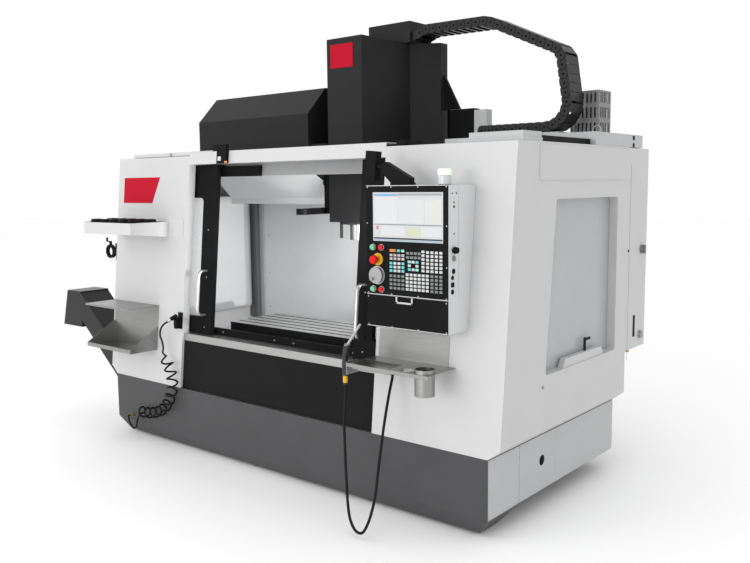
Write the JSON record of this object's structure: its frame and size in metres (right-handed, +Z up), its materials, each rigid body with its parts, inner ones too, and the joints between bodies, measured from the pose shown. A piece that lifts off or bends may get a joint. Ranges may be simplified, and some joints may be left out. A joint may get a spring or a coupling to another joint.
{
  "type": "cnc machining center",
  "caption": "White and charcoal vertical machining centre with sliding doors open, swivelling control pendant, side tool changer, cable chain, chip conveyor and trays.",
  "frame": {"origin": "on the floor, under the middle of the overall box without the hoses", "axes": "+X to the operator's right, +Y to the rear, +Z up"},
  "size_m": [3.837, 2.0399, 2.733],
  "materials": {
    "panel_white": "satin, light texture",
    "base_grey": "satin",
    "light_grey": "satin",
    "charcoal": "fine texture",
    "black_plastic": "matt",
    "stainless": "brushed",
    "cast_iron": "machined",
    "silver": "satin",
    "brass": "satin",
    "clear_pane": "clear",
    "rubber": "matt",
    "green": "gloss",
    "red": "gloss"
  },
  "bodies": {
    "machine": {"base_pan": "base_grey", "base_side_plates": "light_grey", "leveling_feet": "black_plastic", "machine_frame": "cast_iron", "front_apron": "charcoal", "sill_rail": "silver", "door_track": "charcoal", "header_beam": "panel_white", "left_front_panel": "panel_white", "right_front_panel": "panel_white", "left_side_panel": "panel_white", "right_side_panel": "panel_white", "side_windows": "clear_pane", "inner_liner": "panel_white", "roof_panels": "panel_white", "roof_boxes": "light_grey", "toolchanger_hood": "charcoal", "toolchanger_shroud": "panel_white", "electrical_cabinet": "panel_white", "brake_resistor": "light_grey", "chip_conveyor": "base_grey", "tool_tray": "panel_white", "parts_bin": "stainless", "toolholder_vise": "charcoal", "air_gun": "black_plastic", "air_hose_lead": "rubber", "air_hose_coil": "rubber", "air_fitting": "brass", "accessory_tray": "stainless", "wash_gun": "light_grey", "wash_hose": "rubber"},
    "vise_lever": {"vise_lever": "black_plastic"},
    "cabinet_door": {"cabinet_door": "panel_white"},
    "main_switch": {"main_switch": "black_plastic"},
    "chip_auger": {"chip_auger": "stainless"},
    "left_door": {"left_door_frame": "charcoal", "left_door_pane": "clear_pane", "left_door_handle": "silver"},
    "right_door": {"right_door_frame": "charcoal", "right_door_pane": "clear_pane", "right_door_handle": "silver"},
    "saddle": {"saddle": "cast_iron"},
    "table": {"table": "cast_iron"},
    "head": {"head_casting": "cast_iron", "head_cover": "charcoal", "z_way_cover": "panel_white", "cable_chain": "black_plastic"},
    "spindle": {"spindle": "silver"},
    "tool_carousel": {"tool_carousel": "cast_iron"},
    "tool_arm": {"tool_arm": "cast_iron"},
    "pendant": {"pendant_housing": "light_grey", "pendant_console": "black_plastic", "pendant_fittings": "black_plastic"},
    "storage_door": {"storage_door": "black_plastic"},
    "emergency_stop": {"emergency_stop": "red"},
    "jog_wheel": {"jog_wheel": "black_plastic"},
    "power_on": {"power_on_button": "green"},
    "power_off": {"power_off_button": "red"},
    "cycle_start": {"cycle_start_button": "green"},
    "feed_hold": {"feed_hold_button": "red"}
  },
  "joints": [
    {"name": "left_door_slide", "type": "slide", "parent": "machine", "child": "left_door", "axis": [1, 0, 0], "range_m": [0, 0.593]},
    {"name": "right_door_slide", "type": "slide", "parent": "machine", "child": "right_door", "axis": [-1, 0, 0], "range_m": [0, 0.593]},
    {"name": "saddle_y", "type": "slide", "parent": "machine", "child": "saddle", "axis": [0, 1, 0], "range_m": [-0.0195, 0.4885]},
    {"name": "table_x", "type": "slide", "parent": "saddle", "child": "table", "axis": [1, 0, 0], "range_m": [-0.568, 0.702]},
    {"name": "head_z", "type": "slide", "parent": "machine", "child": "head", "axis": [0, 0, 1], "range_m": [-0.442, 0.193], "deforming": ["cable_chain"]},
    {"name": "spindle_turn", "type": "hinge", "parent": "head", "child": "spindle", "pos_m": [0.3205, 0.0845, 1.34], "axis": [0, 0, 1], "continuous": true},
    {"name": "carousel_turn", "type": "hinge", "parent": "machine", "child": "tool_carousel", "pos_m": [-0.4145, 0.2875, 1.95], "axis": [0, 1, 0], "continuous": true},
    {"name": "tool_arm_drop", "type": "slide", "parent": "machine", "child": "tool_arm", "axis": [0, 0, 1], "range_m": [-0.11, 0]},
    {"name": "pendant_swing", "type": "hinge", "parent": "machine", "child": "pendant", "pos_m": [1.6775, -0.7025, 1.34], "axis": [0, 0, 1], "range_deg": [0, 45]},
    {"name": "storage_door_flip", "type": "hinge", "parent": "pendant", "child": "storage_door", "pos_m": [1.4365, -0.8625, 0.998], "axis": [1, 0, 0], "range_deg": [0, 90]},
    {"name": "emergency_stop_push", "type": "slide", "parent": "pendant", "child": "emergency_stop", "axis": [0, 1, 0], "range_m": [0, 0.006], "stiffness_N_per_m": 900},
    {"name": "jog_wheel_turn", "type": "hinge", "parent": "pendant", "child": "jog_wheel", "pos_m": [1.2625, -0.8625, 1.253], "axis": [0, 1, 0], "continuous": true},
    {"name": "power_on_push", "type": "slide", "parent": "pendant", "child": "power_on", "axis": [0, 1, 0], "range_m": [0, 0.004], "stiffness_N_per_m": 600},
    {"name": "power_off_push", "type": "slide", "parent": "pendant", "child": "power_off", "axis": [0, 1, 0], "range_m": [0, 0.004], "stiffness_N_per_m": 600},
    {"name": "cycle_start_push", "type": "slide", "parent": "pendant", "child": "cycle_start", "axis": [0, 1, 0], "range_m": [0, 0.004], "stiffness_N_per_m": 600},
    {"name": "feed_hold_push", "type": "slide", "parent": "pendant", "child": "feed_hold", "axis": [0, 1, 0], "range_m": [0, 0.004], "stiffness_N_per_m": 600},
    {"name": "cabinet_door_hinge", "type": "hinge", "parent": "machine", "child": "cabinet_door", "pos_m": [1.8875, 0.9485, 1.29], "axis": [0, 0, -1], "range_deg": [0, 110]},
    {"name": "main_switch_turn", "type": "hinge", "parent": "machine", "child": "main_switch", "pos_m": [1.8908, 0.8655, 1.292], "axis": [1, 0, 0], "range_deg": [0, 90]},
    {"name": "vise_lever_turn", "type": "hinge", "parent": "machine", "child": "vise_lever", "pos_m": [-1.3595, -0.6445, 1.291], "axis": [0, 0, 1], "range_deg": [-60, 60]},
    {"name": "chip_auger_turn", "type": "hinge", "parent": "machine", "child": "chip_auger", "pos_m": [0.3205, -0.577, 0.4], "axis": [1, 0, 0], "continuous": true}
  ]
}
